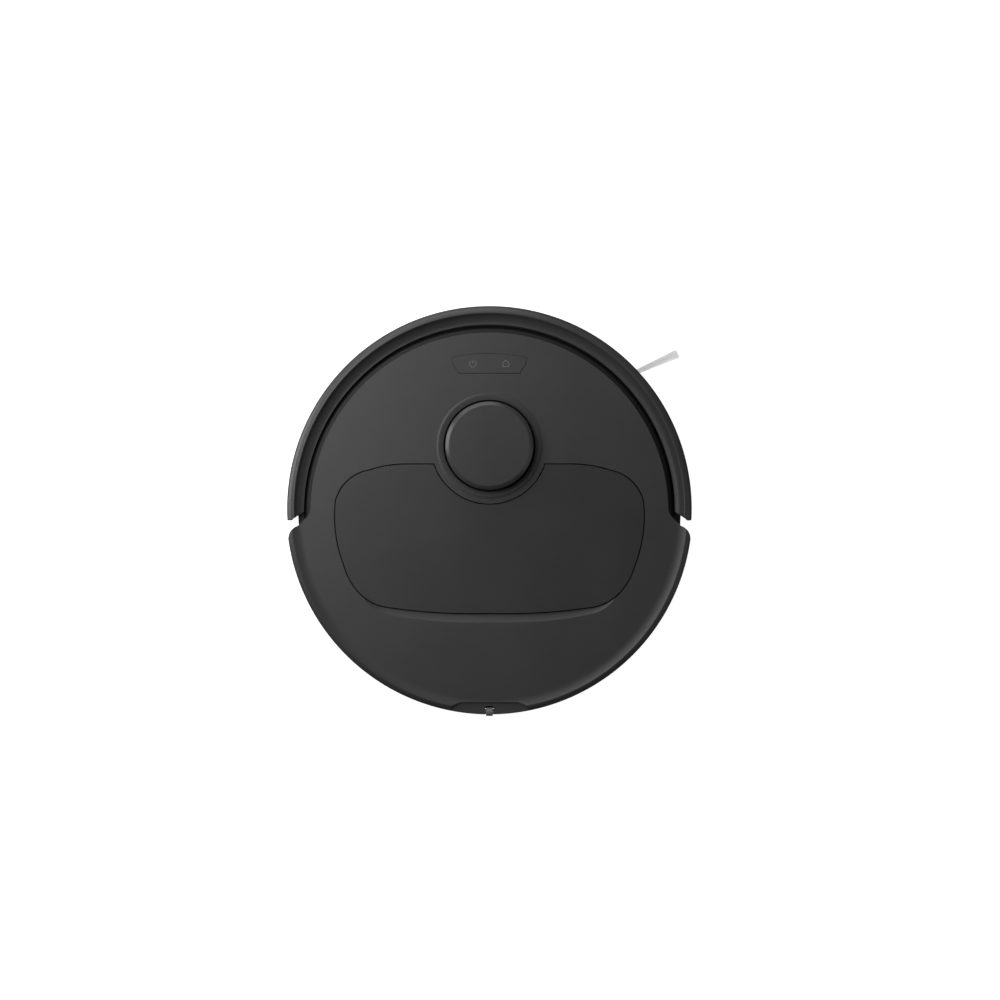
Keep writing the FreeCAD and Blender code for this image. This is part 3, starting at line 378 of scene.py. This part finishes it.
def lid_rim(gap):
    """The lid's outline but for its front edge, widened by a gap."""
    right = [(70, LID_FRONT_Y + gap, -100), (103.6 + gap * 0.4, 35.2 + gap, -36),
             (132.3 + gap, 8.5 + gap * 0.3, -118), (124.8 + gap, -46.8 - gap * 0.3, -53),
             (117.4 + gap * 0.9, -62.9 - gap * 0.5, -42),
             (85.8 + gap * 0.2, -82.6 - gap, -500)]
    radii = [-42, -53, -118, -36, -100]
    left = [(-x, y, radius) for (x, y, _), radius in zip(reversed(right), radii)]
    left.append((-70, LID_FRONT_Y + gap))
    return right + [(0, -87.5 - gap, -500)] + left


def lid_outline(gap):
    bite = LID_BITE - gap
    front = LID_FRONT_Y + gap
    corner = math.sqrt(bite ** 2 - (TURRET_Y - front) ** 2)
    return lid_rim(gap) + [(-corner, front, bite), (0, TURRET_Y - bite, bite), (corner, front)]


def panel_outline(gap):
    return [(-26.1 - gap, 118.9 - gap), (-31.9 - gap, 128.3), (-31.9 - gap, 132.3 + gap / 2, -138.1),
            (31.9 + gap, 132.3 + gap / 2), (31.9 + gap, 128.3), (26.1 + gap, 118.9 - gap)]


# ---- top cover

def cover_profile():
    """Radius and height of the skin: flat, hollow shoulder, crest, round fall to the side wall."""
    hollow = arc((RIM_START, TOP), (CREST_RADIUS, RIM_CREST), 22.3, 0.5)
    fall = arc((CREST_RADIUS, RIM_CREST), (BODY_RADIUS, RIM_EDGE), -5.9, 0.5)
    return ([(0, TOP - SKIN), (0, TOP)] + [(RIM_START - 30, TOP)] + hollow + fall
            + [(BODY_RADIUS, RIM_EDGE), (BODY_RADIUS, COVER_LOW[2]), (BODY_RADIUS - SKIN, COVER_LOW[2]),
               (BODY_RADIUS - SKIN, RIM_EDGE - 1), (RIM_START, TOP - SKIN)])


def lid_rear_edge(x):
    """Rearmost y of the lid's opening at x."""
    outline = path(lid_outline(LID_GAP))
    crossings = []
    for (x0, y0), (x1, y1) in zip(outline, outline[1:] + outline[:1]):
        if (x0 - x) * (x1 - x) <= 0 and x0 != x1:
            crossings.append(y0 + (y1 - y0) * (x - x0) / (x1 - x0))
    return min(crossings)


def scoop_cutter():
    """Finger scoop behind the lid: hollow, deepest at the lid and steepest at its far edge."""
    half, widest, deepest = 107.5, 7.0, 2.3
    count, steps = 120, 8
    mesh = bmesh.new()
    sections = []
    for k in range(count + 1):
        x = -half + 2 * half * k / count
        share = max(0.0, 1 - abs(x / half) ** 4) ** 0.6
        near = lid_rear_edge(x)
        width = 0.3 + widest * share
        depth = 0.05 + deepest * share
        points = [(near + 1.2, TOP + 3), (near + 1.2, TOP - depth)]
        for j in range(steps + 1):
            points.append((near - width * j / steps, TOP + 0.01 - depth * (1 - (j / steps) ** 2)))
        points.append((near - width, TOP + 3))
        sections.append([mesh.verts.new((x * MM, y * MM, z * MM)) for y, z in points])
    size = len(sections[0])
    for one, other in zip(sections, sections[1:]):
        for k in range(size):
            after = (k + 1) % size
            mesh.faces.new((one[k], one[after], other[after], other[k]))
    mesh.faces.new(sections[0])
    mesh.faces.new(sections[-1])
    return from_bmesh("scoop", mesh)


def cover_plan():
    """Outline of the whole cover: round front edge, bends, notches and round rear."""
    bend = math.sqrt(FRONT_RADIUS ** 2 - BEND_Y ** 2)
    front = [(-BEND_FOOT[0], BEND_FOOT[1], 12), (-bend, BEND_Y, -FRONT_RADIUS),
             (0, FRONT_RADIUS, -FRONT_RADIUS), (bend, BEND_Y, 12), BEND_FOOT]
    return path(front + SHOULDER_RIGHT + SHOULDER_LEFT)


def front_skirt():
    """Thin wall that hangs from the cover's front edge."""
    inner, low = FRONT_RADIUS - SKIN, 71.4
    profile = [(FRONT_RADIUS, TOP - 1), (FRONT_RADIUS, low), (inner, low), (inner, TOP - 1)]
    return combine(lathe("skirt", profile, 360), [block("rear", (-200, 200), (-200, -2), (0, 100))])


def turret_lip():
    """Low raised lip round the turret's opening."""
    inner = OPENING_RADIUS - 1
    profile = [(inner, TOP - 1.5), (46.2, TOP - 1.5), (46.2, TOP - 0.02), (45.3, TOP + 0.06),
               (44.7, TOP + 0.26), (44.0, TOP + 0.42), (43.2, TOP + 0.40), (41.6, TOP + 0.22),
               (inner, TOP - 0.1)]
    return lathe("lip", profile, 180, (0, TURRET_Y, 0))


def make_cover():
    cover = lathe("cover", cover_profile(), 360)
    combine(cover, [prism("plan", cover_plan(), 60, 90)], "INTERSECT")
    combine(cover, [front_skirt(), turret_lip()], "UNION")
    recess = [(-33, -180), (33, -180), (33, -167.6), (25.5, -164.2), (-25.5, -164.2), (-33, -167.6)]
    opening = [(0, 60), (OPENING_RADIUS, 60), (OPENING_RADIUS, 90), (0, 90)]
    # scoop first and turret hole last: with the hole before the scoop the result was an open mesh
    cutters = [scoop_cutter(),
               prism("lid hole", path(lid_outline(LID_GAP)), TOP - 4, TOP + 4),
               prism("panel hole", path(panel_outline(PANEL_GAP)), TOP - 4, TOP + 4),
               prism("recess", recess, 78, 90),
               block("roller slot", (-3.6, 3.6), (-180, -167.6), (60, 90)),
               lathe("turret hole", opening, 180, (0, TURRET_Y, 0))]
    combine(cover, cutters)
    soften(cover, 0.3)
    finish_piece(cover, "cover_skin", "machine", COVER_GREY, ["top_cover"])


def post(name, radius, low, high, segments, centre, axis="z"):
    """Plain round bar."""
    return lathe(name, [(0, low), (radius, low), (radius, high), (0, high)], segments, centre, axis)


def make_lid():
    lid = prism("lid", path(lid_outline(-LID_TRIM)), LID_HIGH[2] - 2, LID_HIGH[2])
    hinge = joint_place("lid_hinge")
    barrels = [post("barrel", 1.6, low, high, 24, (0, hinge[1], hinge[2]), "x")
               for low, high in ((-66, -49), (49, 66))]
    feet = [post("foot", 2.5, LID_LOW[2], TOP - 1, 24, (x, y, 0)) for x in (-108, 108) for y in (0, -60)]
    combine(lid, barrels + feet, "UNION")
    combine(lid, [block("above", (-150, 150), (-100, 60), (TOP, TOP + 5))])
    soften(lid, 0.3)
    finish_piece(lid, "lid_skin", "lid", LID_GREY, ["bin_lid"])


# ---- buttons with their two signs

def stroke(points, closed=False):
    """Flat printed line along points, on top of the buttons."""
    low, high, half = TOP - 0.02, TOP + 0.04, 0.225
    pieces = []
    following = points[1:] + points[:1] if closed else points[1:]
    for (x0, y0), (x1, y1) in zip(points, following):
        length = math.hypot(x1 - x0, y1 - y0)
        angle = math.degrees(math.atan2(y1 - y0, x1 - x0))
        pieces.append(block("run", (x0, x0 + length), (y0 - half, y0 + half), (low, high), angle, (x0, y0)))
    return pieces


def make_buttons():
    panel = prism("panel", path(panel_outline(0), 0.5), TOP - 1.5, TOP)
    foot = node_box("button_panel")[0][2]
    stems = [post("stem", 1.6, foot, TOP - 1, 20, (x, 127, 0)) for x in (-14, 14)]
    combine(panel, stems, "UNION")
    soften(panel, 0.22)
    finish_piece(panel, "button_skin", "buttons", COVER_GREY, ["button_panel"])


def make_signs():
    """A power sign and a house."""
    x, y = -14.2, 127.1
    turns = [math.radians(angle) for angle in range(122, 419, 9)]
    ring = [(x + 2.9 * math.cos(turn), y + 2.9 * math.sin(turn)) for turn in turns]
    power = stroke(ring) + stroke([(x, y + 0.6), (x, y + 3.4)])
    finish_piece(joined("power", power), "power_sign", "buttons", MARK)
    x, y = 14.2, 127.2
    eaves, roof, ground, half = y + 0.7, y + 3.0, y - 2.6, 2.6
    house = [(x - half, eaves), (x, roof), (x + half, eaves), (x + half, ground), (x - half, ground)]
    finish_piece(joined("home", stroke(house, closed=True)), "home_sign", "buttons", MARK)


# ---- bumper, rear shell and roller

def bumper_profile():
    """Radius and height: plain wall, round crest, and a hollow slope down to the inner edge."""
    inner = BUMPER_RADIUS - SKIN
    foot = (BUMPER_INNER, RIM_EDGE - 2.3)
    shoulder = (BUMPER_CREST, CREST - 0.3)
    crest = (BUMPER_CREST + 1.1, CREST)
    hollow = arc(foot, shoulder, 9.5, 0.4) + arc(shoulder, crest, -1, 0.2)
    fall = arc(crest, (BUMPER_RADIUS, RIM_EDGE - 2), -7, 0.4)
    inside = [(inner, BUMPER_LOW[2]), (inner, RIM_EDGE - 4), (BUMPER_CREST, CREST - 6.5),
              (BUMPER_INNER + 5, RIM_EDGE - 3.9), (BUMPER_INNER, RIM_EDGE - 3.5)]
    outside = [(BUMPER_RADIUS, RIM_EDGE - 2), (BUMPER_RADIUS, BUMPER_LOW[2] + 3),
               (BUMPER_RADIUS - 1.2, BUMPER_LOW[2])]
    return inside + hollow + fall + outside


def bumper_plan():
    """What the bumper keeps of the full ring: the front, with rounded ends."""
    end_y = BUMPER_END_Y
    heel_x, heel_y = BUMPER_HEEL
    return path([(-200, 200), (-200, end_y), (-175.9, end_y, 4), (-heel_x, heel_y), (-140, 13.3),
                 (140, 13.3), (heel_x, heel_y, 4), (175.9, end_y), (200, end_y), (200, 200)])


def window_band(name, outer, low, high, wedge, wedge_low, wedge_high):
    """Stretch of a thin ring at the front of the bumper's wall, cut out by a wedge."""
    inner = BUMPER_RADIUS - WINDOW_DEPTH
    profile = [(inner, low), (outer, low), (outer, high), (inner, high)]
    band = lathe(name, profile, 480, (0, BUMPER_Y, 0))
    return combine(band, [prism("wedge", wedge, wedge_low, wedge_high)], "INTERSECT")


def make_bumper():
    bumper = lathe("bumper", bumper_profile(), 480, (0, BUMPER_Y, 0))
    combine(bumper, [prism("plan", bumper_plan(), 0, 100)], "INTERSECT")
    inner_edge = [(0, 60), (159.8, 60), (159.8, 90), (0, 90)]
    combine(bumper, [lathe("inner edge", inner_edge, 360, (0, 0.7, 0))])
    low, high = node_box("bumper_window")
    wedge = [(0, 0), (90, 200), (-90, 200)]
    combine(bumper, [window_band("pocket", BUMPER_RADIUS + 2, low[2], high[2], wedge, 0, 100)])
    soften(bumper, 0.3, sharp=40)
    finish_piece(bumper, "bumper_skin", "bumper", BUMPER_GREY, ["bumper_shell"])
    wedge = [(0, 1), (89.4, 200), (-89.4, 200)]
    window = window_band("window", BUMPER_RADIUS - 0.05, low[2], high[2], wedge, low[2] + 0.3, high[2] - 0.3)
    soften(window, 0.15)
    finish_piece(window, "window_skin", "bumper", WINDOW, ["bumper_window"])


def make_housing():
    """Front wall behind the bumper; its ledge falls away from the cover into the groove."""
    low, high = node_box("front_housing")
    outer, ledge = high[0], high[2]
    inner = outer - SKIN
    profile = [(inner, low[2]), (outer, low[2]), (outer, 66), (160, 66.5), (158, ledge - 1),
               (156.5, ledge - 0.1), (155.5, ledge), (150, ledge), (150, ledge - 2), (156, ledge - 2),
               (159, 64.4), (inner, 64)]
    housing = lathe("housing", profile, 360)
    combine(housing, [block("behind", (-200, 200), (-200, NOTCH[1]), (0, 100))])
    soften(housing, 0.2)
    finish_piece(housing, "housing_skin", "machine", GROOVE_BLACK, ["front_housing"])


def make_shell():
    """Rear side wall with its shoulders and 14 exhaust slots."""
    inner = BODY_RADIUS - SKIN
    inner_x = math.sqrt(inner ** 2 - SHOULDER[1] ** 2)
    jamb_x, jamb_y = NOTCH[0] - 2.3, NOTCH[1] - 3
    inside = [(-jamb_x, NOTCH[1]), (-jamb_x, jamb_y), (-inner_x, SHOULDER[1], inner), (0, -inner, inner),
              (inner_x, SHOULDER[1]), (jamb_x, jamb_y), (jamb_x, NOTCH[1])]
    shell = prism("shell", path(SHOULDER_RIGHT + SHOULDER_LEFT + inside), SHELL_LOW[2], SHELL_HIGH[2])
    across = (BODY_RADIUS - 10, BODY_RADIUS + 5)
    combine(shell, [block("slot", across, (-1.2, 1.2), (28, 56), -78 + 3 * k) for k in range(14)])
    soften(shell, 0.35)
    finish_piece(shell, "shell_skin", "machine", COVER_GREY, ["rear_shell"])


def make_roller():
    low, high = node_box("rear_roller")
    y, z = (low[1] + high[1]) / 2, (low[2] + high[2]) / 2
    radius = (high[1] - low[1]) / 2
    half = high[0]
    profile = [(1.1, -half), (radius - 0.4, -half), (radius, -half + 0.4), (radius, half - 0.4),
               (radius - 0.4, half), (1.1, half)]
    roller = lathe("roller", profile, 64, (0, y, z), "x")
    shade(roller, 40)
    finish_piece(roller, "roller_skin", "roller", NYLON, ["rear_roller"])


# ---- turret

def make_turret():
    """Bevelled disc on three pillars over a ring."""
    low, top = CAP_LOW[2], CAP_HIGH[2]
    disc_low = top - 4
    ring_inner, ring_high = CAP_RADIUS - 4.6, low + 3.4
    centre = (0, TURRET_Y, 0)
    disc = lathe("disc", [(0, disc_low), (CAP_RADIUS - 1.2, disc_low), (CAP_RADIUS, disc_low + 0.8),
                          (CAP_RADIUS, top - 3.2), (36.8, top - 1.8), (35.0, top - 0.3), (34.4, top),
                          (0, top)], 180, centre)
    ring = lathe("ring", [(ring_inner, low), (CAP_RADIUS, low), (CAP_RADIUS, ring_high),
                          (ring_inner, ring_high)], 180, centre)
    across, along = (CAP_RADIUS - 4.4, CAP_RADIUS - 0.8), (TURRET_Y - 5, TURRET_Y + 5)
    pillars = [block("pillar", across, along, (low + 2, disc_low + 1), angle, (0, TURRET_Y))
               for angle in (90, 225, 315)]
    combine(disc, [ring] + pillars, "UNION")
    soften(disc, 0.2)
    finish_piece(disc, "turret_skin", "turret_cap", CAP_GREY, ["lidar_cap"])


# ---- side brush

def bristle(mesh, points, thick):
    """One hair: a three-sided tube along points, in metres."""
    rings = []
    for number, point in enumerate(points):
        before = points[max(number - 1, 0)]
        after = points[min(number + 1, len(points) - 1)]
        along = (after - before).normalized()
        side = along.cross(Vector((0, 0, 1))).normalized()
        up = side.cross(along)
        rings.append([mesh.verts.new(point + (side * math.cos(turn) + up * math.sin(turn)) * thick)
                      for turn in (0.5, 0.5 + 2 * math.pi / 3, 0.5 + 4 * math.pi / 3)])
    for one, other in zip(rings, rings[1:]):
        for k in range(3):
            after = (k + 1) % 3
            mesh.faces.new((one[k], one[after], other[after], other[k]))
    mesh.faces.new(rings[0])
    mesh.faces.new(rings[-1])


def hair_points(turn, length, across, rise):
    """Middle line of one hair: it falls to the floor and its bundle fans out along the way."""
    points = []
    for k in range(9):
        share = k / 8
        distance = HAIR_ROOT + (length - HAIR_ROOT) * share
        spread = 0.9 + 2.8 * share ** 1.1
        height = 6.4 - 4.8 * share ** 1.3 + rise * (0.8 - 0.25 * share)
        points.append(turn @ (Vector((distance, across * spread, height)) * MM))
    return points


def make_bristles(x, y):
    mesh = bmesh.new()
    for angle in BUNDLE_ANGLES:
        turn = Matrix.Translation(Vector((x, y, 0)) * MM) @ Matrix.Rotation(math.radians(angle), 4, "Z")
        for _ in range(HAIRS_PER_BUNDLE):
            across = random.uniform(-1, 1)
            rise = random.uniform(-1, 1)
            length = HAIR_REACH - random.uniform(0, 1.6)
            bristle(mesh, hair_points(turn, length, across, rise), HAIR_RADIUS * MM)
    hairs = from_bmesh("hairs", mesh)
    shade(hairs, 80)
    finish_piece(hairs, "bristle_bundles", "side_brush", BRISTLE, ["side_brush_bristles"])


def make_side_brush():
    low, high = node_box("side_brush_hub")
    x, y = (low[0] + high[0]) / 2, (low[1] + high[1]) / 2
    make_bristles(x, y)
    roots = [block("root", (x + 6, x + 15), (y - 2, y + 2), (5.4, 9.2), angle, (x, y))
             for angle in BUNDLE_ANGLES]
    hub = lathe("hub", [(0, 5.2), (7.6, 5.2), (9, 6.6), (9, 9.6), (0, 9.6)], 64, (x, y, 0))
    combine(hub, roots, "UNION")
    combine(hub, [post("seat", 3.2, 0, 6.4, 32, (x, y, 0))])
    soften(hub, 0.25)
    finish_piece(hub, "side_hub_skin", "side_brush", INNER_BLACK, ["side_brush_hub"])


# ---- wheels

def make_lug(k, side, half, radius, centre):
    """One slanted lug of the tread, on one side of the tyre's middle."""
    lug = bmesh.new()
    turn = Matrix.Rotation(2 * math.pi * k / LUGS, 4, "X")
    corners = [(0, -1.5), (half - 1.0, 1.3), (half - 1.0, 4.0), (0, 1.2)]
    base = [lug.verts.new(turn @ (Vector((side * a, b, radius - 2.4)) * MM)) for a, b in corners]
    crown = [lug.verts.new(turn @ (Vector((side * a, b * 0.94, radius - 0.12)) * MM)) for a, b in corners]
    lug.faces.new(base)
    lug.faces.new(crown)
    for j in range(4):
        after = (j + 1) % 4
        lug.faces.new((base[j], base[after], crown[after], crown[j]))
    bmesh.ops.translate(lug, verts=lug.verts, vec=Vector(centre) * MM)
    return from_bmesh("lug", lug)


def make_wheel(name):
    low, high = node_box("wheel_tyre_" + name)
    centre = [(one + other) / 2 for one, other in zip(low, high)]
    radius = (high[2] - low[2]) / 2
    half = (high[0] - low[0]) / 2
    side_radius, tread_radius = radius - 3.2, radius - 1.8
    profile = [(26, -half), (side_radius, -half), (tread_radius, -half + 1.2), (tread_radius, half - 1.2),
               (side_radius, half), (26, half)]
    tyre = lathe("tyre", profile, 96, centre, "x")
    lugs = [make_lug(k, side, half, radius, centre) for k in range(LUGS) for side in (-1, 1)]
    tread = joined("tread", [tyre] + lugs)
    shade(tread)
    finish_piece(tread, "tread_" + name, "drive_wheel_" + name, TREAD, ["wheel_tyre_" + name])


# ---- CAD nodes shown as they are, by material

SHOWN = {
    # the bin bay takes the near-black painted shade that darkens the lid's seam
    BAY_PAINTED_SHADE: ["bin_bay"],
    BASE_BLACK: ["chassis_base", "battery_cover"],
    INNER_BLACK: ["bin_top", "bumper_switches", "lidar_rotor", "lidar_base", "brush_chamber",
                  "side_brush_gearbox", "caster_socket", "caster_fork", "fan_housing",
                  "wheel_arm_left", "wheel_arm_right"],
    STEEL: ["base_screws", "rear_roller_axle", "lidar_motor", "brush_motor", "side_brush_screw",
            "caster_axle", "fan_motor", "wheel_motor_left", "wheel_motor_right", "suspension_pin_left",
            "suspension_pin_right", "suspension_spring_left", "suspension_spring_right"],
    BLACK_STEEL: ["lid_hinge_pins"],
    CONTACT: ["charging_contacts"],
    WINDOW: ["cliff_sensors"],
    BIN_CLEAR: ["dust_bin"],
    FILTER: ["bin_filter"],
    NYLON: ["bin_handle", "lidar_pulley", "main_brush_roller", "fan_impeller", "wheel_hub_left",
            "wheel_hub_right"],
    BOARD: ["button_board", "main_board"],
    TREAD: ["lidar_belt", "caster_wheel"],
    RUBBER: ["main_brush_fins"],
    BUMPER_GREY: ["brush_cover"],
    ORANGE: ["brush_cover_latches"],
    WRAP: ["battery_pack"],
}


def show_nodes():
    for material, names in SHOWN.items():
        for name in names:
            item = frame["nodes"][name]
            item.data.materials.clear()
            item.data.materials.append(material)


# ---- floor, light and camera

def add_light(name, azimuth, elevation, power, distance=0.8, size=0.5):
    """Square soft box that faces the origin from an azimuth (from +X towards +Y) and an elevation."""
    data = bpy.data.lights.new(name, "AREA")
    data.shape = "SQUARE"
    data.size = size
    data.energy = power
    light = bpy.data.objects.new(name, data)
    bpy.context.scene.collection.objects.link(light)
    across, up = math.radians(azimuth), math.radians(elevation)
    outward = Vector((math.cos(across) * math.cos(up), math.sin(across) * math.cos(up), math.sin(up)))
    light.location = outward * distance
    light.rotation_euler = outward.to_track_quat("Z", "Y").to_euler()


def make_stage():
    """Pale floor that looks white without lighting the machine, and four soft boxes."""
    floor = block("floor", (-6000, 6000), (-6000, 6000), (-20, -0.3))
    material = surface("Floor", (0.9, 0.9, 0.9), 0.9, spread=0.01, grain_height=0.0)
    glow(material, 0.95)
    floor.data.materials.append(material)
    floor.visible_diffuse = False
    floor.visible_glossy = False
    world = bpy.data.worlds.new("Studio")
    bpy.context.scene.world = world
    world.use_nodes = True
    background = world.node_tree.nodes["Background"]
    background.inputs["Color"].default_value = (1, 1, 1, 1)
    background.inputs["Strength"].default_value = 0.09
    add_light("Key", 150, 60, 2.15)
    add_light("Front", 105, 20, 2.7, size=0.8)
    add_light("Left", 165, 8, 3.0)
    add_light("Fill", 345, 20, 0.35)


def make_camera():
    """Long lens straight above, a little off the middle."""
    data = bpy.data.cameras.new("Camera")
    data.lens = 200
    data.sensor_width = 36
    frame_width = 0.8604  # metres across the view at the height of the machine's top
    distance = frame_width * data.lens / data.sensor_width
    camera = bpy.data.objects.new("Camera", data)
    bpy.context.scene.collection.objects.link(camera)
    off_x, off_y = 9.12, 9.81
    camera.location = (off_x * MM, off_y * MM, TOP * MM + distance)
    data.clip_end = 20
    bpy.context.scene.camera = camera
    bpy.context.scene.view_settings.view_transform = "Standard"


make_cover()
make_lid()
make_buttons()
make_signs()
make_bumper()
make_housing()
make_shell()
make_roller()
make_turret()
make_side_brush()
for wheel_side in ("left", "right"):
    make_wheel(wheel_side)
show_nodes()
make_stage()
make_camera()
